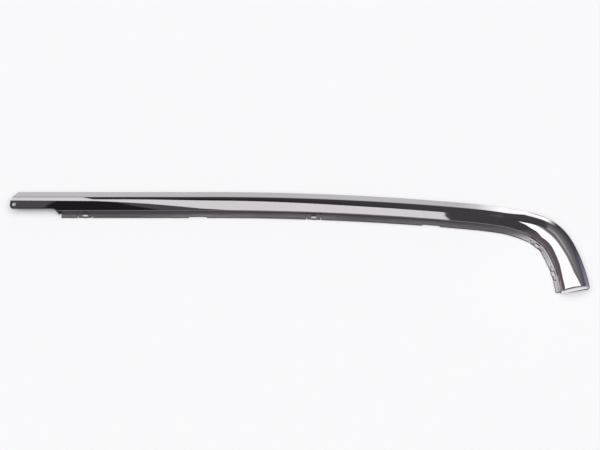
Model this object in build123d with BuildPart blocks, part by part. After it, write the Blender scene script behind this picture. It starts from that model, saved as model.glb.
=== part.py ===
from build123d import *
import os
from math import degrees

# Bright trim moulding for one half of a bumper, in millimetres.
# It lies open side down: +X runs along the trim to the hooked end, +Y is the outer side of its bow, +Z is up.
# The skin stands on two feet in one plane, the outer rim and the inner flange.

# Plan of the outer foot, as tangent runs from the inner end to the tip of the leg; turns are in degrees
straight_length = 293.0
bow_radius = 3760.0
bow_turn = 5.8
shoulder_radius = 630.0
shoulder_turn = 8.1
corner_radius = 77.0
corner_turn = 53.2
leg_radius = 226.0
leg_turn = 19.5

# Change of the run's section into the leg's: its start before the corner and its length, along the outer foot
change_before_corner = 44.6856
change_length = 77.0
change_steps = 14

# Skin
wall = 2.5

# Outer rim, standing on the floor
run_rim_height = 4.0
leg_rim_height = 4.5
run_rim_lean = 0.3
leg_rim_lean = 1.0
rim_radius = 1.2

# Sloped band between the rim and the crease
run_band_width = 12.0
leg_band_width = 3.0
run_band_rise = 6.6
leg_band_rise = 4.6
run_band_bulge = 0.4
leg_band_bulge = 0.3
run_crease_radius = 1.5
leg_crease_radius = 4.0
run_crease_inset = 0.5
leg_crease_inset = 1.25

# Main face between the crease and the inner wall
run_face_width = 21.0
leg_face_width = 38.0
face_drop = 1.2
run_face_crown = 0.6
leg_face_crown = 7.4
face_edge_radius = 1.0

# Inner wall, the bead along its foot and the lip
run_wall_lean = 1.0
leg_wall_lean = 1.4
flange_thickness = 2.4
bead_width = 2.2
bead_height = 0.9
lip_width = 4.2

# Tip that closes the leg, rounded off in two steps
tip_length = 2.6
tip_drop = 2.4
tip_shoulder_length = 1.6
tip_shoulder_drop = 0.8

# Inner end: the skin runs on as a screw tab, past the start of the inner wall and lip
tab_length = 61.0
tab_width = 29.0
tab_step_radius = 10.0
tab_corner_radius = 4.0
lip_start_setback = 4.0
slant_length = 9.0
slant_width = 17.0
screw_hole_radius = 3.25
screw_hole_from_end = 6.0
screw_hole_from_edge = 23.0

# Snap tabs of the lip, placed by their middles' lengths along the outer foot
run_snap_tab_places = [109.0, 443.0]
snap_tab_after_corner_starts = 34.3144
snap_tab_before_tip = 35.0979
snap_tab_length = 22.0
slit_width = 1.6
window_length = 8.0
window_depth = 3.8
window_inset = 1.4
lead_in_length = 5.0
lead_in_depth = 1.8
lead_in_drop = 1.2

# Clearance notches of the lip, placed in the same way, and the end of the lip short of the tip
notch_places = [273.0, 615.0]
notch_length = 26.0
notch_depth = 1.8
lip_end_setback = 8.0

# Overrun of every cut past the skin
overrun = 2.0


def between(run_value, leg_value, change):
    return run_value + (leg_value - run_value) * change


# Plan curve of the outer foot
with BuildLine() as outer_foot:
    straight = Line((0, 0), (straight_length, 0))
    bow = JernArc(straight @ 1, straight % 1, bow_radius, -bow_turn)
    shoulder = JernArc(bow @ 1, bow % 1, shoulder_radius, -shoulder_turn)
    corner = JernArc(shoulder @ 1, shoulder % 1, corner_radius, -corner_turn)
    leg = JernArc(corner @ 1, corner % 1, leg_radius, -leg_turn)

foot_runs = [straight, bow, shoulder, corner, leg]
foot_length = sum(run.length for run in foot_runs)
shoulder_starts = straight_length + bow.length
corner_starts = shoulder_starts + shoulder.length
leg_starts = corner_starts + corner.length
change_starts = corner_starts - change_before_corner
change_ends = change_starts + change_length
snap_tab_places = run_snap_tab_places + [
    corner_starts + snap_tab_after_corner_starts,
    foot_length - snap_tab_before_tip,
]


def station_at(length):
    """Section plane so far along the outer foot: x goes inwards from the foot, y goes up."""
    length_left = length
    for run in foot_runs:
        if length_left <= run.length or run is leg:
            break
        length_left -= run.length
    along = run % (length_left / run.length)
    return Plane(origin=run @ (length_left / run.length), x_dir=(along.Y, -along.X, 0), z_dir=-along)


def change_at(length):
    """Share of the change from the run's section to the leg's, eased at both ends."""
    share = min(max((length - change_starts) / change_length, 0.0), 1.0)
    return share * share * (3.0 - 2.0 * share)


def floor_at(station):
    """Plane on the floor at a station: x goes along the trim and y outwards from the outer foot."""
    return Plane(origin=station.origin, x_dir=-station.z_dir, z_dir=(0, 0, 1))


def corners_at(change, drop=0.0):
    """Corners of the outer section, with its top and its outer side drawn in by the drop."""
    rim_height = between(run_rim_height, leg_rim_height, change)
    band_width = between(run_band_width, leg_band_width, change)
    crease_height = rim_height + between(run_band_rise, leg_band_rise, change)
    face_end = band_width + between(run_face_width, leg_face_width, change)
    wall_foot = face_end + between(run_wall_lean, leg_wall_lean, change)
    bead_end = wall_foot + bead_width
    lip_end = bead_end + lip_width
    return {
        "outer_foot": (drop, 0),
        "rim_top": (drop + between(run_rim_lean, leg_rim_lean, change), rim_height - drop / 2),
        "crease": (band_width + drop / 2, crease_height - drop),
        "face_edge": (face_end - drop / 2, crease_height - face_drop - drop),
        "wall_foot": (wall_foot, flange_thickness + bead_height),
        "bead_edge": (bead_end, flange_thickness + bead_height),
        "bead_foot": (bead_end, flange_thickness),
        "lip_top": (lip_end, flange_thickness),
        "lip_foot": (lip_end, 0),
    }


def lip_edge_at(change):
    """Distance from the outer foot to the lip's edge."""
    return corners_at(change)["lip_foot"][0]


def outer_skin_lines(at, change):
    """Lines and arcs of the outer skin, from the outer foot over the face to the lip."""
    Line(at["outer_foot"], at["rim_top"])
    SagittaArc(at["rim_top"], at["crease"], between(run_band_bulge, leg_band_bulge, change))
    SagittaArc(at["crease"], at["face_edge"], between(run_face_crown, leg_face_crown, change))
    Polyline(at["face_edge"], at["wall_foot"], at["bead_edge"], at["bead_foot"], at["lip_top"], at["lip_foot"])


def inner_skin_lines(at, change):
    """Lines and arcs of the inner skin, from the lip back to the outer foot, one wall inside."""
    foot = (at["wall_foot"][0] - wall, 0)
    face_edge = (at["face_edge"][0] - wall, at["face_edge"][1] - wall)
    crease_inset = between(run_crease_inset, leg_crease_inset, change)
    crease = (at["crease"][0] + crease_inset, at["crease"][1] - wall)
    rim_top = (at["rim_top"][0] + wall, at["rim_top"][1] - wall / 3)
    Polyline(at["lip_foot"], foot, face_edge)
    SagittaArc(face_edge, crease, -between(run_face_crown, leg_face_crown, change))
    SagittaArc(crease, rim_top, -between(run_band_bulge, leg_band_bulge, change))
    Polyline(rim_top, (wall, 0), at["outer_foot"])


def round_outer_corners(at, change):
    """Rounds the rim, the crease and the face's inner edge of the sketch being drawn."""
    crease_radius = between(run_crease_radius, leg_crease_radius, change)
    for name, radius in (("rim_top", rim_radius), ("crease", crease_radius), ("face_edge", face_edge_radius)):
        fillet(vertices().sort_by_distance(at[name])[0], radius=radius)


def channel_section(station, change):
    """Open-backed section of the trim."""
    at = corners_at(change)
    with BuildSketch(station) as section:
        with BuildLine():
            outer_skin_lines(at, change)
            inner_skin_lines(at, change)
        make_face()
        round_outer_corners(at, change)
    return section.sketch


def solid_section(station, change, drop):
    """Section closed along the floor, for the wall that closes the tip."""
    at = corners_at(change, drop)
    with BuildSketch(station) as section:
        with BuildLine():
            outer_skin_lines(at, change)
            Line(at["lip_foot"], at["outer_foot"])
        make_face()
        round_outer_corners(at, change)
    return section.sketch


def section_at(length):
    return channel_section(station_at(length), change_at(length))


def turned_run(run, first_length, last_length):
    """Stretch of an arc whose section doesn't change, turned about the arc's middle."""
    turn = degrees((last_length - first_length) / run.radius)
    revolve(section_at(first_length), axis=Axis(run.arc_center, (0, 0, -1)), revolution_arc=turn)


change_step = change_length / change_steps
tip = station_at(foot_length)
run_lip_edge = lip_edge_at(0.0)
leg_lip_edge = lip_edge_at(1.0)
above_skin = leg_rim_height + leg_band_rise + leg_face_crown + overrun


with BuildPart() as trim_in_plan:
    # Straight run, bow and first part of the shoulder with the run's section
    extrude(section_at(straight_length), amount=straight_length)
    turned_run(bow, straight_length, shoulder_starts)
    turned_run(shoulder, shoulder_starts, change_starts)

    # The section changes over the end of the shoulder and the first part of the corner
    loft([section_at(change_starts + change_step * i) for i in range(change_steps + 1)], ruled=True)

    # Rest of the corner and the leg with the leg's section
    turned_run(corner, change_ends, leg_starts)
    turned_run(leg, leg_starts, foot_length)

    # Wall that closes the tip
    loft(
        [
            solid_section(tip, 1.0, 0.0),
            solid_section(tip.offset(-tip_shoulder_length), 1.0, tip_shoulder_drop),
            solid_section(tip.offset(-tip_length), 1.0, tip_drop),
        ],
        ruled=True,
    )

    # Lip stops short of the tip
    with BuildSketch(floor_at(tip)):
        with Locations((tip_length + overrun, -leg_lip_edge - overrun)):
            Rectangle(
                tip_length + lip_end_setback + overrun,
                lip_width + overrun,
                align=(Align.MAX, Align.MIN),
            )
    extrude(amount=above_skin, mode=Mode.SUBTRACT)

    # Inner end: wall and lip are cut away past the screw tab, with a rounded step
    step = tab_length + tab_step_radius
    with BuildSketch():
        with Locations((-overrun, -tab_width)):
            Rectangle(step + overrun, run_lip_edge, align=(Align.MIN, Align.MAX))
        fillet(vertices().sort_by_distance((step, -tab_width))[0], radius=tab_step_radius)
        with Locations((0, -run_lip_edge - overrun)):
            Rectangle(step + lip_start_setback, lip_width + overrun, align=(Align.MIN, Align.MIN))
    extrude(amount=above_skin, mode=Mode.SUBTRACT)
    fillet(edges().filter_by(Axis.Z).sort_by_distance((0, -tab_width, 0))[0], radius=tab_corner_radius)

    # Inner end: slanted cut of the band, and the screw hole
    with BuildSketch():
        with BuildLine():
            Polyline(
                (slant_length, overrun),
                (-overrun, overrun),
                (-overrun, -slant_width),
                (0, -slant_width),
                (slant_length, 0),
                close=True,
            )
        make_face()
        with Locations((screw_hole_from_end, -screw_hole_from_edge)):
            Circle(screw_hole_radius)
    extrude(amount=above_skin, mode=Mode.SUBTRACT)

    # Snap tabs: a slit at each end, a window through the bead and lip, and a lowered lead-in beside it
    for length in snap_tab_places:
        floor = floor_at(station_at(length))
        lip_edge = lip_edge_at(change_at(length))
        slit_middle = (snap_tab_length - slit_width) / 2
        lead_in_middle = (slit_middle - slit_width / 2 + window_length / 2) / 2
        with BuildSketch(floor):
            with Locations((-slit_middle, -lip_edge - overrun), (slit_middle, -lip_edge - overrun)):
                Rectangle(slit_width, lip_width + overrun, align=(Align.CENTER, Align.MIN))
            with Locations((0, -lip_edge + window_inset)):
                Rectangle(window_length, window_depth, align=(Align.CENTER, Align.MIN))
        extrude(amount=flange_thickness + bead_height + overrun, mode=Mode.SUBTRACT)
        with BuildSketch(floor.offset(flange_thickness - lead_in_drop)):
            with Locations((-lead_in_middle, -lip_edge - overrun), (lead_in_middle, -lip_edge - overrun)):
                Rectangle(lead_in_length, lead_in_depth + overrun, align=(Align.CENTER, Align.MIN))
        extrude(amount=flange_thickness, mode=Mode.SUBTRACT)

    # Clearance notches in the lip's edge
    for length in notch_places:
        with BuildSketch(floor_at(station_at(length))):
            with Locations((0, -run_lip_edge - overrun)):
                Rectangle(notch_length, notch_depth + overrun, align=(Align.CENTER, Align.MIN))
        extrude(amount=flange_thickness, mode=Mode.SUBTRACT)


# The finished moulding stands with the middle of its plan over the origin
plan_middle = trim_in_plan.part.bounding_box().center()
with BuildPart() as trim_moulding:
    add(trim_in_plan.part.moved(Location((-plan_middle.X, -plan_middle.Y, 0))))

trim_moulding.part.label = "trim_moulding"
os.makedirs("parts", exist_ok=True)
export_step(trim_moulding.part, "parts/trim_moulding.step")
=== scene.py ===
import math

import bmesh
import bpy
from mathutils import Matrix, Vector


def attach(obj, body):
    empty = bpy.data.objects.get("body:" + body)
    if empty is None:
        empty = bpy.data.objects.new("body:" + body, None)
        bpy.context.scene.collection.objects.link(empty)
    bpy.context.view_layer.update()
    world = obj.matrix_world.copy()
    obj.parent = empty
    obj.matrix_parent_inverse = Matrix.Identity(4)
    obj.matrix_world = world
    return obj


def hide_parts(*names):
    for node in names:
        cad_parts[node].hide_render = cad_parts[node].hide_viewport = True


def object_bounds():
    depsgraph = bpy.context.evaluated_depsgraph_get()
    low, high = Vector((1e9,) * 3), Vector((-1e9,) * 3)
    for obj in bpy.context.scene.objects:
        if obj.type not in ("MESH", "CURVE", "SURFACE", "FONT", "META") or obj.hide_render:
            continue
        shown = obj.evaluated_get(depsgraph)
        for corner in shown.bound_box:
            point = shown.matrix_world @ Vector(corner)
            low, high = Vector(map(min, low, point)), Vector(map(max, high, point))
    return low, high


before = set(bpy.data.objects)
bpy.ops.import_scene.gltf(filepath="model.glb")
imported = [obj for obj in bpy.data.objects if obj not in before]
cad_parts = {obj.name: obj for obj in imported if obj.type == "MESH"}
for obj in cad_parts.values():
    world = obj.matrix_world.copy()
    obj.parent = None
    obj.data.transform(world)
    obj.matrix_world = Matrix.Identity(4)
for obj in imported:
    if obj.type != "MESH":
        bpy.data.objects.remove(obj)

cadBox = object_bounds()
mm = 0.001
scene = bpy.context.scene

# The CAD box gives the plan's corner, where the outer foot starts
planCorner = Vector((cadBox[0].x, cadBox[1].y, 0.0))
toCad = Matrix.Translation(planCorner) @ Matrix.Scale(mm, 4)


# Shader maths: a wrapped socket takes the usual operators, and each one adds its Math node

class Wire:
    def __init__(self, finish, socket):
        self.finish = finish
        self.socket = socket

    def maths(self, operation, first, second):
        return self.finish.node("ShaderNodeMath", {"operation": operation}, {0: first, 1: second})

    def __add__(self, other):
        return self.maths("ADD", self, other)

    def __radd__(self, other):
        return self.maths("ADD", other, self)

    def __sub__(self, other):
        return self.maths("SUBTRACT", self, other)

    def __rsub__(self, other):
        return self.maths("SUBTRACT", other, self)

    def __mul__(self, other):
        return self.maths("MULTIPLY", self, other)

    def __rmul__(self, other):
        return self.maths("MULTIPLY", other, self)


class Finish:
    # a node tree of a material or of the world, filled node by node

    def __init__(self, tree):
        self.tree = tree
        tree.nodes.clear()

    def node(self, kind, settings=None, inputs=None, output=0):
        # adds a node, sets it up, fills or links its sockets and hands back one output
        made = self.tree.nodes.new(kind)
        for name, value in (settings or {}).items():
            if name == "stops":
                ramp = made.color_ramp
                while len(ramp.elements) < len(value):
                    ramp.elements.new(0.5)
                for element, (place, colour) in zip(ramp.elements, value):
                    element.position = place
                    element.color = colour
            else:
                setattr(made, name, value)
        for name, value in (inputs or {}).items():
            if isinstance(value, Wire):
                self.tree.links.new(value.socket, made.inputs[name])
            else:
                made.inputs[name].default_value = value
        return Wire(self, made.outputs[output]) if made.outputs else None

    def blend(self, share, first, second):
        # a colour Mix takes its factor at 0 and its colours at 6 and 7, and gives them at 2
        return self.node("ShaderNodeMix", {"data_type": "RGBA"}, {0: share, 6: first, 7: second}, output=2)

    def between(self, value, reach):
        # 0 below the reach, 1 above it
        low, high = reach
        return self.node("ShaderNodeMapRange", {"interpolation_type": "SMOOTHSTEP"}, {
            "Value": value, "From Min": low, "From Max": high})

    def noise(self, layer):
        # noise drawn out along the trim: x of its place is the length, y the distance round the section
        scale, stretch, detail = layer
        place = self.node("ShaderNodeUVMap", {"uv_map": "along"})
        place = self.node("ShaderNodeVectorMath", {"operation": "MULTIPLY"}, {
            0: place, 1: (scale * stretch, scale, 1.0)})
        return self.node("ShaderNodeTexNoise", None, {"Vector": place, "Scale": 1.0, "Detail": detail})

    def bump(self, height, distance):
        return self.node("ShaderNodeBump", None, {"Strength": 1.0, "Distance": distance, "Height": height})

    def surface(self, kind, inputs):
        # the shader that the material shows
        shader = self.node(kind, None, inputs)
        self.node("ShaderNodeOutputMaterial", None, {"Surface": shader})


def newFinish(name):
    material = bpy.data.materials.new(name)
    material.use_nodes = True
    return material, Finish(material.node_tree)


# Trim moulding: sizes in millimetres, in pairs where the run and the leg differ

trim = {
    "straight": 293.0,
    "bends": [(3760.0, 5.8), (630.0, 8.1), (77.0, 53.2), (226.0, 19.5)],  # radius, and turn in degrees
    "cornerBend": 2,  # which of the bends is the corner, counted from 0
    "bendEase": 12.0,  # half the length over which one bend runs into the next
    "easeSamples": 12,
    "footSteps": 1800,
    "changeBeforeCorner": 44.7,
    "changeLength": 77.0,
    "wall": 2.5,
    "rimHeight": (4.0, 4.5),
    "rimLean": (0.3, 1.0),
    "innerRimDrop": 0.83,
    "bandWidth": (12.0, 3.0),
    "bandRise": (6.6, 4.6),
    "bandBulge": (0.4, 0.3),
    "creaseInset": (0.5, 1.25),
    "faceWidth": (21.0, 38.0),
    "faceDrop": 1.2,
    "faceCrown": (0.6, 7.37),
    "wallLean": (1.0, 1.4),
    "rimRound": 1.2,
    "creaseRound": (1.5, 4.0),
    "faceEdgeRound": 1.0,
    "flange": 2.4,
    "beadWidth": 2.2,
    "beadHeight": 0.9,
    "lipWidth": 4.2,
    "edgeRound": 0.3,
    "softRound": 0.6,  # at the bead and the inner skin's creases
    "tipLength": 2.5,
    "tipSlant": 0.105,  # setback of the tip for each millimetre from its inner corner
    "tipSlantLength": 40.0,
    "tipDrop": 2.4,
    "tipSteps": 8,
    "lengthStep": (4.0, 1.6),  # mesh spacing along the run and round the hook
    "closeStepsBeforeCorner": 89.4,
    "guardStrip": 0.12,  # narrow strip of mesh beside each rounding, so that the sides stay flat
    "sharpAngle": 32.0,
}


def pick(pair, change):
    # size between the run's and the leg's
    return pair[0] + (pair[1] - pair[0]) * change


def bendStart(index):
    return trim["straight"] + sum(radius * math.radians(turn) for radius, turn in trim["bends"][:index])


cornerStart = bendStart(trim["cornerBend"])
footLength = bendStart(len(trim["bends"]))


def bendAt(length):
    # radius of the outer foot where it bends, and None on the straight
    for index in reversed(range(len(trim["bends"]))):
        if length >= bendStart(index):
            return trim["bends"][index][0]
    return None


def headingAt(length):
    # heading of the outer foot before the bends are eased into each other
    heading = 0.0
    left = min(length, footLength) - trim["straight"]
    for radius, turn in trim["bends"]:
        bendLength = radius * math.radians(turn)
        if left <= 0.0:
            break
        heading -= min(left, bendLength) / radius
        left -= bendLength
    return heading


def easedHeading(length):
    # mean of the headings a little before the place and after it
    ease = min(trim["bendEase"], length, footLength - length)
    if ease <= 0.0:
        return headingAt(length)
    samples = trim["easeSamples"]
    total = sum(headingAt(length + ease * (2.0 * (i + 0.5) / samples - 1.0)) for i in range(samples))
    return total / samples


def walkFoot(heading):
    # places along the outer foot at even steps
    step = footLength / trim["footSteps"]
    place = Vector((0.0, 0.0))
    places = [place]
    for i in range(trim["footSteps"]):
        angle = heading((i + 0.5) * step)
        place = place + Vector((math.cos(angle), math.sin(angle))) * step
        places.append(place)
    return places


# Easing the bends moves the end of the foot a little, so the bent part is moved back, bit by bit
easedFoot = walkFoot(easedHeading)
footSlip = walkFoot(headingAt)[-1] - easedFoot[-1]
straightShare = trim["straight"] / footLength
footPlaces = []
for i, place in enumerate(easedFoot):
    bentShare = (i / trim["footSteps"] - straightShare) / (1.0 - straightShare)
    footPlaces.append(place + footSlip * max(0.0, bentShare))


def changeAt(length):
    # 0 on the run, 1 on the leg, and a smooth change of the section between them
    share = (length - cornerStart + trim["changeBeforeCorner"]) / trim["changeLength"]
    share = min(max(share, 0.0), 1.0)
    return share * share * (3.0 - 2.0 * share)


def turned(direction, angle):
    cosine, sine = math.cos(angle), math.sin(angle)
    return Vector((direction.x * cosine - direction.y * sine, direction.x * sine + direction.y * cosine))


class Side:
    # one side of the section: a line or a shallow arc that bulges to the left of its way

    def __init__(self, start, end, bulge):
        self.start = Vector(start)
        chord = Vector(end) - self.start
        half = 2.0 * math.atan2(2.0 * bulge, chord.length)
        self.sweep = 2.0 * half
        self.first = turned(chord.normalized(), half)
        self.radius = chord.length / (2.0 * math.sin(half)) if bulge else None
        self.length = abs(self.radius * self.sweep) if bulge else chord.length

    def at(self, distance):
        # place and direction so far along the side
        if self.radius is None:
            return self.start + self.first * distance, self.first
        angle = self.sweep * distance / self.length
        rightward = turned(self.first, -math.pi / 2.0)
        reached = self.first * math.sin(angle) + rightward * (1.0 - math.cos(angle))
        return self.start + reached * self.radius, turned(self.first, -angle)


meshSteps = {  # steps round each corner of the section, and along the side that follows it
    "rimFoot": (3, 3),
    "rim": (8, 10),
    "crease": (8, 30),
    "faceEdge": (10, 4),
    "bead": (5, 1),
    "beadEdge": (4, 1),
    "beadFoot": (4, 2),
    "lip": (4, 1),
    "lipFoot": (3, 2),
    "wallFoot": (3, 2),
    "innerFaceEdge": (4, 16),
    "innerCrease": (4, 6),
    "innerRim": (4, 2),
    "innerFoot": (3, 1),
    "tipBead": (3, 2),
    "tipFoot": (3, 1),
}


class Corner:
    # a corner of the section: its rounding, and the bulge of the side that follows it

    def __init__(self, name, place, rounding, bulge=0.0):
        self.place = place
        self.rounding = rounding
        self.bulge = bulge
        self.roundSteps, self.sideSteps = meshSteps[name]


def roundedRing(corners):
    # points round a closed outline with rounded corners
    count = len(corners)
    following = corners[1:] + corners[:1]
    sides = [Side(corner.place, after.place, corner.bulge) for corner, after in zip(corners, following)]
    cutBacks = []
    for i, corner in enumerate(corners):
        before, after = sides[i - 1].at(sides[i - 1].length)[1], sides[i].at(0.0)[1]
        turn = abs(before.angle_signed(after))
        cutBacks.append(corner.rounding * math.tan(turn / 2.0))
    ring = []
    for i, corner in enumerate(corners):
        endPlace, endWay = sides[i - 1].at(sides[i - 1].length - cutBacks[i])
        startPlace, startWay = sides[i].at(cutBacks[i])
        turn = abs(endWay.angle_signed(startWay))
        handle = corner.rounding * 4.0 / 3.0 * math.tan(turn / 4.0)  # of a cubic curve close to an arc
        bendIn, bendOut = endPlace + endWay * handle, startPlace - startWay * handle
        for k in range(1, corner.roundSteps):
            t = k / corner.roundSteps
            s = 1.0 - t
            leaving = endPlace * s**3 + bendIn * 3 * s * s * t
            ring.append(leaving + bendOut * 3 * s * t * t + startPlace * t**3)
        clear = sides[i].length - cutBacks[i] - cutBacks[(i + 1) % count]
        guard = min(trim["guardStrip"], clear / 4.0)
        stops = [0.0, guard]
        stops += [guard + (clear - 2.0 * guard) * k / corner.sideSteps for k in range(1, corner.sideSteps)]
        stops += [clear - guard, clear]
        ring += [sides[i].at(cutBacks[i] + stop)[0] for stop in stops]
    return ring


def ringLength(corners):
    # points that roundedRing gives for these corners
    return sum(corner.roundSteps + corner.sideSteps + 2 for corner in corners)


class Section:
    # the trim's section as runs of corners: the face, the flange, the inner skin and the tip's wall.
    # A drop draws it in and down, as the tip rounds off

    def __init__(self, change, drop=0.0):
        rimHeight = pick(trim["rimHeight"], change)
        bandWidth = pick(trim["bandWidth"], change)
        creaseHeight = rimHeight + pick(trim["bandRise"], change)
        faceEnd = bandWidth + pick(trim["faceWidth"], change)
        wallFoot = faceEnd + pick(trim["wallLean"], change)
        beadEnd = wallFoot + trim["beadWidth"]
        lipEnd = beadEnd + trim["lipWidth"]
        flange, bead = trim["flange"], trim["flange"] + trim["beadHeight"]
        wall, edge, soft = trim["wall"], trim["edgeRound"], trim["softRound"]
        rimTop = (drop + pick(trim["rimLean"], change), rimHeight - drop / 2.0)
        crease = (bandWidth + drop / 2.0, creaseHeight - drop)
        faceEdge = (faceEnd - drop, creaseHeight - trim["faceDrop"] - drop)
        bandBulge, faceCrown = pick(trim["bandBulge"], change), pick(trim["faceCrown"], change)
        creaseInset = pick(trim["creaseInset"], change)
        self.wallFoot, self.lipEdge = wallFoot, lipEnd
        self.face = [
            Corner("rimFoot", (drop, 0.0), edge),
            Corner("rim", rimTop, trim["rimRound"], bandBulge),
            Corner("crease", crease, pick(trim["creaseRound"], change), faceCrown),
            Corner("faceEdge", faceEdge, trim["faceEdgeRound"]),
        ]
        self.flange = [
            Corner("bead", (wallFoot, bead), soft),
            Corner("beadEdge", (beadEnd, bead), edge),
            Corner("beadFoot", (beadEnd, flange), edge),
            Corner("lip", (lipEnd, flange), edge),
            Corner("lipFoot", (lipEnd, 0.0), edge),
        ]
        self.inside = [
            Corner("wallFoot", (wallFoot - wall, 0.0), edge),
            Corner("innerFaceEdge", (faceEdge[0] - wall, faceEdge[1] - wall), soft, -faceCrown),
            Corner("innerCrease", (crease[0] + creaseInset, crease[1] - wall), soft, -bandBulge),
            Corner("innerRim", (rimTop[0] + wall, rimTop[1] - trim["innerRimDrop"]), edge),
            Corner("innerFoot", (wall, 0.0), edge),
        ]
        self.tipWall = [
            Corner("tipBead", (wallFoot - drop, bead), edge),
            Corner("tipFoot", (wallFoot - drop, 0.0), edge),
        ]


legSection = Section(1.0)


class Station:
    # a place on the outer foot, with the directions along the trim and inwards

    def __init__(self, length):
        onFoot = min(max(length, 0.0), footLength)
        share = onFoot / footLength * trim["footSteps"]
        low = min(int(share), trim["footSteps"] - 1)
        place = footPlaces[low].lerp(footPlaces[low + 1], share - low)
        self.along = turned(Vector((1.0, 0.0)), easedHeading(onFoot))
        self.inwards = Vector((self.along.y, -self.along.x))
        self.place = place + self.along * (length - onFoot)
        slanted = 1.0 - (footLength - onFoot) / trim["tipSlantLength"]
        self.slant = trim["tipSlant"] * max(slanted, 0.0) ** 2

    def point(self, across, up, along=0.0):
        # towards the tip the section slants, with its outer side set back
        setback = self.slant * (legSection.wallFoot - across)
        spot = self.place + self.inwards * across + self.along * (along - setback)
        return Vector((spot.x, spot.y, up))


def stationLengths():
    # even steps along the run, and closer ones from a little before the change of section
    wide, close = trim["lengthStep"]
    middle = cornerStart - trim["closeStepsBeforeCorner"]
    wideCount = round(middle / wide)
    closeCount = round((footLength - middle) / close)
    lengths = [middle * i / wideCount for i in range(wideCount)]
    return lengths + [middle + (footLength - middle) * i / closeCount for i in range(closeCount + 1)]


bright, satin = 0, 1  # material slots of the two platings


class Skin:
    # mesh being built: vertices know their length along the trim and distance round its section

    def __init__(self):
        self.mesh = bmesh.new()
        self.layer = self.mesh.loops.layers.uv.new("along")
        self.places = {}

    def ring(self, length, points):
        station = Station(length)
        made, distance = [], 0.0
        for i, (across, up) in enumerate(points):
            if i:
                distance += (points[i] - points[i - 1]).length
            vertex = self.mesh.verts.new(station.point(across, up))
            self.places[vertex] = (length * mm, distance * mm)
            made.append(vertex)
        return made

    def face(self, vertices, plating):
        made = self.mesh.faces.new(vertices)
        made.material_index = plating
        for loop in made.loops:
            loop[self.layer].uv = self.places[loop.vert]

    def bridge(self, before, after, polished):
        # a strip of faces between two rings, bright up to the polished point and satin past it
        for i in range(len(before) - 1):
            corners = (before[i], before[i + 1], after[i + 1], after[i])
            self.face(corners, bright if i < polished else satin)


def buildSkin():
    skin = Skin()
    rings = []
    for length in stationLengths():
        section = Section(changeAt(length))
        rings.append(skin.ring(length, roundedRing(section.face + section.flange + section.inside)))

    # the ring's points where the face ends, and where the lip, the wall and the rim reach the floor
    face, flange, inside, tipWall = legSection.face, legSection.flange, legSection.inside, legSection.tipWall
    wallEnd = ringLength(face) - 1
    lipFloor = ringLength(face + flange[:-1]) + flange[-1].roundSteps - 1
    wallFloor = lipFloor + flange[-1].sideSteps + 2
    rimFloor = len(rings[0]) - inside[-1].sideSteps - 3
    tipFloor = ringLength(face + tipWall[:-1]) + tipWall[-1].roundSteps

    for before, after in zip(rings, rings[1:]):
        skin.bridge(before + before[:1], after + after[:1], wallEnd)
    skin.face(rings[0], satin)

    # The tip: the face runs on round the end and closes down to the floor, and the flange stops.
    # Its first ring shares the vertices of the last station as far as the face goes
    last, shared = rings[-1], wallEnd + 1
    tipRings = []
    for k in range(trim["tipSteps"] + 1):
        angle = math.pi / 2.0 * k / trim["tipSteps"]
        past = footLength + trim["tipLength"] * math.sin(angle)
        section = Section(1.0, trim["tipDrop"] * (1.0 - math.cos(angle)))
        points = roundedRing(section.face + section.tipWall)
        if k == 0:
            wallPoints = skin.ring(past, points[shared:tipFloor])
            tipRings.append(last[-1:] + last[:shared] + wallPoints)
        else:
            tipRings.append(skin.ring(past, points[-1:] + points[:tipFloor]))
    for before, after in zip(tipRings, tipRings[1:]):
        skin.bridge(before, after, len(before))
    skin.face(tipRings[-1], bright)

    # ends of the flange and of the channel, and the underside of the tip
    skin.face(last[wallEnd:lipFloor + 1] + wallPoints[::-1], satin)
    skin.face(last[wallFloor:rimFloor + 1], satin)
    rimEdge = last[rimFloor:] + [ring[0] for ring in tipRings[1:]]
    tipEdge = [ring[-1] for ring in tipRings[::-1]]
    skin.face(rimEdge + tipEdge + last[lipFloor:wallFloor + 1], satin)
    return finishMesh(skin.mesh, "brightTrim")


def finishMesh(mesh, name):
    bmesh.ops.recalc_face_normals(mesh, faces=mesh.faces)
    made = bpy.data.meshes.new(name)
    mesh.to_mesh(made)
    mesh.free()
    made.transform(toCad)
    for plating in (brightChrome, satinChrome):
        made.materials.append(plating)
    piece = bpy.data.objects.new(name, made)
    scene.collection.objects.link(piece)
    return piece


# What is cut from the moulding, in millimetres

cuts = {
    "tabLength": 61.0,
    "tabWidth": 29.0,
    "tabStepRound": 10.0,
    "tabStepTurn": 70.0,  # degrees that the step's rounding turns through
    "tabCornerRound": 4.0,
    "tabShoulder": 16.5,
    "tabShoulderRound": 0.8,
    "flangeSetback": 4.0,
    "bandSetback": 2.0,
    "slant": (7.0, 12.5),  # length and width of the band's slanted cut
    "screwHole": (6.0, 23.0, 3.25),  # from the end, from the outer foot, radius
    "snapTabs": [109.0, 443.0, 797.0, 876.0],
    "snapTabLength": 22.0,
    "slit": (1.6, 3.8),  # length, depth
    "window": (8.0, 3.8, 1.4),  # length, depth, distance from the lip's edge
    "leadIn": (6.5, 1.8, 1.8),  # length, depth, drop
    "notches": [273.0, 615.0],
    "notch": (26.0, 1.8),  # length, depth
    "overrun": 2.0,  # how far a cut reaches past what it cuts
    "height": 30.0,  # how high the cuts right through reach
    "roundSteps": 12,  # in a quarter turn
}


def joinOutlines(mesh, first, second):
    # a closed body between two outlines of the same number of points
    near = [mesh.verts.new(point) for point in first]
    far = [mesh.verts.new(point) for point in second]
    faces = [mesh.faces.new(near[::-1]), mesh.faces.new(far)]
    for i in range(len(near)):
        j = (i + 1) % len(near)
        faces.append(mesh.faces.new((near[i], near[j], far[j], far[i])))
    for face in faces:
        face.material_index = satin


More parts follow.
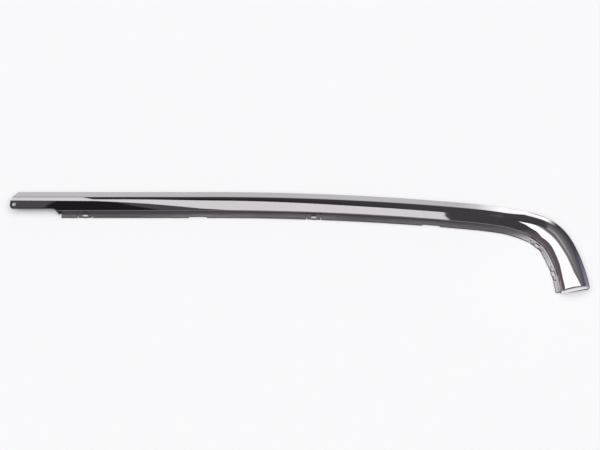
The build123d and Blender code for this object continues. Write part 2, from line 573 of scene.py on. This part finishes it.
def upright(mesh, length, outline, low, high):
    # outline given along the trim and inwards from the outer foot, cut between two heights
    station = Station(length)
    first, second = [[station.point(across, up, along) for along, across in outline] for up in (low, high)]
    joinOutlines(mesh, first, second)


def lengthwise(mesh, length, outline, start, end):
    # outline given across the section and up, cut between two places along the trim
    station = Station(length)
    first, second = [[station.point(across, up, along) for across, up in outline] for along in (start, end)]
    joinOutlines(mesh, first, second)


def centred(size):
    return -size / 2.0, size / 2.0


def block(along, across):
    # rectangle between two places along the trim and two across it
    return [(along[0], across[0]), (along[1], across[0]), (along[1], across[1]), (along[0], across[1])]


def arcOutline(middle, radius, start, end):
    # points of an arc between two angles in degrees
    points = []
    for i in range(cuts["roundSteps"] + 1):
        angle = math.radians(start + (end - start) * i / cuts["roundSteps"])
        points.append((middle[0] + radius * math.cos(angle), middle[1] + radius * math.sin(angle)))
    return points


def lipEdgeAt(length):
    return Section(changeAt(length)).lipEdge


def beside(length, lipDistance):
    # length along the outer foot of a place so far along the lip from another
    radius = bendAt(length)
    if radius is None:
        return length + lipDistance
    return length + lipDistance * radius / (radius - lipEdgeAt(length))


def cutInnerEnd(mesh):
    over, above = cuts["overrun"], cuts["height"]
    run = Section(0.0)

    # the wall stops past the screw tab with a rounded step, and the flange a little further
    tabLength, width, stepRound = cuts["tabLength"], cuts["tabWidth"], cuts["tabStepRound"]
    cornerRound = cuts["tabCornerRound"]
    flangeStart = tabLength + stepRound + cuts["flangeSetback"]
    outline = arcOutline((tabLength, width + stepRound), stepRound, -90.0, cuts["tabStepTurn"] - 90.0)
    outline += [(tabLength + stepRound, run.wallFoot), (flangeStart, run.wallFoot)]
    outline += [(flangeStart, run.lipEdge + over), (-over, run.lipEdge + over), (-over, width - cornerRound)]
    outline += arcOutline((cornerRound, width - cornerRound), cornerRound, 180.0, 90.0)
    upright(mesh, 0.0, outline, -over, above)

    # the band stands back from the tab and is cut off at a slant
    setback, shoulder, shoulderRound = cuts["bandSetback"], cuts["tabShoulder"], cuts["tabShoulderRound"]
    slantLength, slantWidth = cuts["slant"]
    outline = [(setback + slantLength, -over), (setback + slantLength, 0.0), (setback, slantWidth)]
    outline += arcOutline((setback - shoulderRound, shoulder - shoulderRound), shoulderRound, 0.0, 90.0)
    outline += [(-over, shoulder), (-over, -over)]
    upright(mesh, 0.0, outline, -over, above)

    fromEnd, fromFoot, radius = cuts["screwHole"]
    outline = []
    for quarter in (0.0, 90.0, 180.0, 270.0):
        outline += arcOutline((fromEnd, fromFoot), radius, quarter, quarter + 90.0)[:-1]
    upright(mesh, 0.0, outline, -over, above)


def cutFlange(openings, chamfers):
    over = cuts["overrun"]
    flange = trim["flange"]
    above = flange + trim["beadHeight"] + over
    slitWidth, slitDepth = cuts["slit"]
    windowLength, windowDepth, windowInset = cuts["window"]
    leadLength, leadDepth, leadDrop = cuts["leadIn"]
    slitPlace = (cuts["snapTabLength"] - slitWidth) / 2.0
    leadHalf = (leadLength + slitWidth / 2.0) / 2.0
    leadSlope = leadDrop / leadDepth
    for length in cuts["snapTabs"]:
        # a window, a slit at each end, and a chamfer that leads into each slit
        windowEdge = lipEdgeAt(length) - windowInset
        window = block(centred(windowLength), (windowEdge - windowDepth, windowEdge))
        upright(openings, length, window, -over, above)
        for side in (-1.0, 1.0):
            slitLength = beside(length, side * slitPlace)
            lip = lipEdgeAt(slitLength)
            slit = block(centred(slitWidth), (lip - slitDepth, lip + over))
            upright(openings, slitLength, slit, -over, above)
            leadPlace = beside(length, side * (slitPlace - leadHalf))
            lip = lipEdgeAt(leadPlace)
            wedge = [(lip - leadDepth, flange + over), (lip - leadDepth, flange)]
            wedge += [(lip + over, flange - leadSlope * (leadDepth + over)), (lip + over, flange + over)]
            lengthwise(chamfers, leadPlace, wedge, -leadHalf, leadHalf)

    notchLength, notchDepth = cuts["notch"]
    for length in cuts["notches"]:
        lip = lipEdgeAt(length)
        notch = block(centred(notchLength), (lip - notchDepth, lip + over))
        upright(openings, length, notch, -over, above)


def cutAway(piece, cutters):
    for cutter in cutters:
        boolean = piece.modifiers.new(cutter.name, "BOOLEAN")
        boolean.object = cutter
        boolean.operation = "DIFFERENCE"
        boolean.solver = "EXACT"
    graph = bpy.context.evaluated_depsgraph_get()
    made = bpy.data.meshes.new_from_object(piece.evaluated_get(graph))
    piece.modifiers.clear()
    piece.data = made
    for cutter in cutters:
        bpy.data.objects.remove(cutter)


# Chrome plate: bright on the face, rim and wall, satin on the flange, the underside and the cut edges.
# A layer of noise has a scale, a stretch (less than 1 draws it out along the trim) and a detail

chrome = {
    "tone": (0.83, 0.805, 0.83, 1.0),
    "warmTone": (0.80, 0.765, 0.775, 1.0),
    "clouds": (9.0, 0.5, 4.0),
    "cloudReach": (0.35, 0.65),
    "roughness": 0.028,
    "haze": 0.05,  # extra roughness where the plate is slightly cloudy
    "hazePatches": (34.0, 0.6, 5.0),
    "hazeReach": (0.5, 0.8),
    "scratchHaze": 0.07,
    "scratches": (900.0, 0.014, 2.0),
    "scratchReach": (0.66, 0.78),
    "waves": (26.0, 0.35, 1.0),
    "waveHeight": 0.00006,
}

satinPlate = {
    "tone": (0.62, 0.60, 0.62, 1.0),
    "dullTone": (0.46, 0.44, 0.46, 1.0),
    "flow": (60.0, 0.15, 4.0),
    "flowReach": (0.3, 0.7),
    "roughness": 0.30,
    "haze": 0.16,
    "grain": (1400.0, 1.0, 3.0),
    "grainHeight": 0.00003,
}


def mixBrightChrome():
    material, finish = newFinish("brightChrome")
    cloud = finish.between(finish.noise(chrome["clouds"]), chrome["cloudReach"])
    haze = finish.between(finish.noise(chrome["hazePatches"]), chrome["hazeReach"])
    scratches = finish.between(finish.noise(chrome["scratches"]), chrome["scratchReach"])
    finish.surface("ShaderNodeBsdfPrincipled", {
        "Base Color": finish.blend(cloud, chrome["tone"], chrome["warmTone"]),
        "Metallic": 1.0,
        "Roughness": chrome["roughness"] + chrome["haze"] * haze + chrome["scratchHaze"] * scratches * haze,
        "Normal": finish.bump(finish.noise(chrome["waves"]), chrome["waveHeight"])})
    return material


def mixSatinChrome():
    material, finish = newFinish("satinChrome")
    flow = finish.between(finish.noise(satinPlate["flow"]), satinPlate["flowReach"])
    finish.surface("ShaderNodeBsdfPrincipled", {
        "Base Color": finish.blend(flow, satinPlate["tone"], satinPlate["dullTone"]),
        "Metallic": 1.0,
        "Roughness": satinPlate["roughness"] + satinPlate["haze"] * flow,
        "Normal": finish.bump(finish.noise(satinPlate["grain"]), satinPlate["grainHeight"])})
    return material


brightChrome = mixBrightChrome()
satinChrome = mixSatinChrome()
print("chrome mixed")

moulding = buildSkin()
print("skin swept:", len(moulding.data.polygons), "faces")
openings, chamfers = bmesh.new(), bmesh.new()
cutInnerEnd(openings)
cutFlange(openings, chamfers)
cutAway(moulding, [finishMesh(openings, "openings"), finishMesh(chamfers, "chamfers")])
print("ends, windows, slits and notches cut:", len(moulding.data.polygons), "faces")
moulding.data.shade_smooth()
moulding.data.set_sharp_from_angle(angle=math.radians(trim["sharpAngle"]))

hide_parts("trim_moulding")
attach(moulding, "root")


# Studio: pale floor and soft light

studio = {
    "floorSize": 40.0,
    "floorTone": (0.93, 0.93, 0.935, 1.0),
    "floorRoughness": 0.9,
    "ceilingPower": 2.75,
    "ceilingHeight": 3.0,  # only where the lamp is drawn: a sun shines the same from anywhere
    "ceilingSpread": 110.0,
}


def setFloor():
    bpy.ops.mesh.primitive_plane_add(size=studio["floorSize"], location=(0.0, 0.0, 0.0))
    floor = bpy.context.object
    floor.name = "floor"
    paper, finish = newFinish("palePaper")
    finish.surface("ShaderNodeBsdfPrincipled", {
        "Base Color": studio["floorTone"], "Roughness": studio["floorRoughness"]})
    floor.data.materials.append(paper)
    floor.visible_glossy = False  # the trim was photographed clear of its ground, so it doesn't mirror it


def hangCeiling():
    # light from the whole ceiling, straight down, that lies evenly on the floor
    lamp = bpy.data.lights.new("ceiling", "SUN")
    lamp.angle = math.radians(studio["ceilingSpread"])
    lamp.energy = studio["ceilingPower"]
    ceiling = bpy.data.objects.new("ceiling", lamp)
    ceiling.location = (0.0, 0.0, studio["ceilingHeight"])
    ceiling.visible_glossy = False
    scene.collection.objects.link(ceiling)


# Surround that the chrome mirrors. A reach is how far a direction goes to a side, from -1 to 1:
# a tone starts at the first value and is full at the second

surround = {
    "skyTone": (0.016, 0.013, 0.018, 1.0),
    "sideTones": [  # side, reach, tone
        ("right", (-0.10, 0.15), (0.060, 0.055, 0.062, 1.0)),
        ("front", (0.0, 0.5), (0.105, 0.092, 0.105, 1.0)),
        ("left", (0.26, 0.5), (0.125, 0.108, 0.120, 1.0)),
        ("back", (0.43, 0.60), (0.062, 0.058, 0.064, 1.0))],
    "glowTurn": (20.0, 34.0),  # azimuth in degrees from +Y towards +X
    "glowReach": (0.12, 0.22),  # to the right
    "glow": [  # height of the direction, and the colour of the surround on the right
        (0.10, (0.05, 0.05, 0.055, 1.0)), (0.50, (0.12, 0.12, 0.13, 1.0)), (0.75, (0.20, 0.195, 0.205, 1.0)),
        (0.89, (0.50, 0.49, 0.50, 1.0)), (0.925, (0.05, 0.05, 0.05, 1.0))],
    "underTone": (0.022, 0.020, 0.023, 1.0),
    "skyReach": (-0.3, -0.1),  # upwards, and so are the next two
    "horizonFoot": (-0.55, -0.42),
    "horizonTop": (0.24, 0.34),  # the horizon fades out here
    "horizon": [  # azimuth, and the colour of the surround there
        (-180, (0.45, 0.44, 0.45, 1.0)), (-30, (0.50, 0.48, 0.50, 1.0)), (-14, (0.62, 0.60, 0.62, 1.0)),
        (12, (0.60, 0.59, 0.60, 1.0)), (16, (1.30, 1.28, 1.28, 1.0)), (26, (1.30, 1.28, 1.28, 1.0)),
        (36, (0.07, 0.07, 0.075, 1.0)), (54, (0.07, 0.07, 0.08, 1.0)), (64, (0.27, 0.26, 0.37, 1.0)),
        (100, (0.45, 0.44, 0.46, 1.0)), (180, (0.45, 0.44, 0.45, 1.0))],
}


def setSurround():
    world = bpy.data.worlds.new("studio")
    scene.world = world
    world.use_nodes = True
    finish = Finish(world.node_tree)
    way = finish.node("ShaderNodeTexCoord")
    x, y, z = [finish.node("ShaderNodeSeparateXYZ", None, {0: way}, output=i) for i in range(3)]
    azimuth = finish.node("ShaderNodeMath", {"operation": "ARCTAN2"}, {0: x, 1: y})

    sides = {"right": x, "front": y * -1.0, "left": x * -1.0, "back": y}
    sky = surround["skyTone"]
    for side, reach, tone in surround["sideTones"]:
        sky = finish.blend(finish.between(sides[side], reach), sky, tone)
    onRight = finish.between(azimuth, [math.radians(degree) for degree in surround["glowTurn"]])
    onRight = onRight * finish.between(x, surround["glowReach"])
    sky = finish.blend(onRight, sky, finish.node("ShaderNodeValToRGB", {"stops": surround["glow"]}, {0: z}))
    sky = finish.blend(finish.between(z, surround["skyReach"]), surround["underTone"], sky)

    turn = azimuth * (1.0 / math.tau) + 0.5
    stops = [(degree / 360.0 + 0.5, colour) for degree, colour in surround["horizon"]]
    horizon = finish.node("ShaderNodeValToRGB", {"stops": stops}, {0: turn})
    nearHorizon = finish.between(z, surround["horizonFoot"])
    nearHorizon = nearHorizon * (1.0 - finish.between(z, surround["horizonTop"]))
    sky = finish.blend(nearHorizon, sky, horizon)
    shade = finish.node("ShaderNodeBackground", None, {"Color": sky, "Strength": 1.0})
    finish.node("ShaderNodeOutputWorld", None, {"Surface": shade})


# Cards that only mirror in the chrome: bright ones, and dark ones in front of them. Metres, in plan

cards = {
    "runCard": {
        "height": 2.0, "strength": 0.80, "tint": (1.0, 0.965, 0.98, 1.0),
        "outline": [
            (-1.20, 1.08), (-1.20, 1.42), (-0.80, 1.42), (-0.72, 1.14), (-0.52, 1.12), (-0.34, 1.04),
            (-0.17, 1.00), (0.0, 0.93), (0.17, 0.85), (0.33, 0.81), (0.48, 0.79), (0.45, 0.53), (0.43, 0.15),
            (-0.12, 0.15), (-0.26, 0.34), (-0.32, 0.41), (-0.39, 0.56), (-0.50, 0.76), (-0.61, 0.90),
            (-0.70, 1.00)]},
    "endCard": {
        "height": 2.01, "strength": 0.085, "tint": (0.93, 0.86, 1.0, 1.0),
        "outline": [(-1.30, 0.10), (-0.84, 0.10), (-0.84, 1.06), (-1.30, 1.06)]},
    "runShade": {
        "height": 2.01, "strength": 0.080, "tint": (0.95, 0.84, 0.98, 1.0),
        "outline": [(-0.62, 0.90), (-0.26, 0.45), (-0.20, 0.15), (-0.40, 0.15), (-0.55, 0.60)]},
    "shoulderShade": {  # keeps the run's card off the shoulder
        "height": 0.066, "strength": 0.055, "tint": (1.0, 0.92, 1.0, 1.0),
        "outline": [(0.303, 0.0), (0.340, 0.0), (0.340, 0.056), (0.303, 0.056)]},
    "tipCard": {
        "height": 0.0005, "strength": 0.95, "tint": (1.0, 0.98, 1.0, 1.0),
        "outline": [(0.360, -0.0805), (0.418, -0.0735), (0.418, -0.095), (0.360, -0.098)]},
}

legCards = {  # a stack over the leg: each card spreads further to its outer side and is weaker
    "height": 0.06,
    "heightStep": 0.001,
    "tint": (1.0, 0.98, 1.0, 1.0),
    "fade": [(0.0, 1.35), (0.004, 0.60), (0.009, 0.34), (0.016, 0.21), (0.026, 0.14)],  # spread, strength
    "outerSide": [
        (0.430, -0.075), (0.430, -0.050), (0.400, -0.035), (0.387, -0.012), (0.368, 0.008), (0.358, 0.016),
        (0.338, 0.040)],
    "innerSide": [
        (0.322, 0.048), (0.328, 0.031), (0.330, 0.010), (0.329, -0.015), (0.327, -0.030), (0.310, -0.042),
        (0.310, -0.075)],
}


def hangCard(name, height, strength, tint, outline):
    made = bpy.data.meshes.new(name)
    made.from_pydata([(x, y, height) for x, y in outline], [], [range(len(outline))])
    card = bpy.data.objects.new(name, made)
    scene.collection.objects.link(card)
    glow, finish = newFinish(name + "Glow")
    finish.surface("ShaderNodeEmission", {"Color": tint, "Strength": strength})
    made.materials.append(glow)
    card.visible_camera = False
    card.visible_diffuse = False
    card.visible_shadow = False


setFloor()
setSurround()
hangCeiling()
for name, card in cards.items():
    hangCard(name, **card)
for i, (spread, strength) in enumerate(legCards["fade"]):
    outline = [(x + spread, y) for x, y in legCards["outerSide"]] + legCards["innerSide"]
    height = legCards["height"] + legCards["heightStep"] * i
    hangCard(f"legCard{i}", height, strength, legCards["tint"], outline)
print("studio lit")


# Camera, placed from the plan's corner

view = {
    "fromCorner": (0.4214, -0.0517, 0.0),
    "elevation": 65.0,
    "distance": 1.595,
    "lens": 66.0,
    "sensor": 36.0,
}

elevation = math.radians(view["elevation"])
target = planCorner + Vector(view["fromCorner"])
cameraData = bpy.data.cameras.new("camera")
cameraData.lens = view["lens"]
cameraData.sensor_width = view["sensor"]
camera = bpy.data.objects.new("camera", cameraData)
camera.location = target + Vector((0.0, -math.cos(elevation), math.sin(elevation))) * view["distance"]
camera.rotation_euler = (math.pi / 2.0 - elevation, 0.0, 0.0)
scene.collection.objects.link(camera)
scene.camera = camera
scene.view_settings.view_transform = "Standard"
print("camera set")
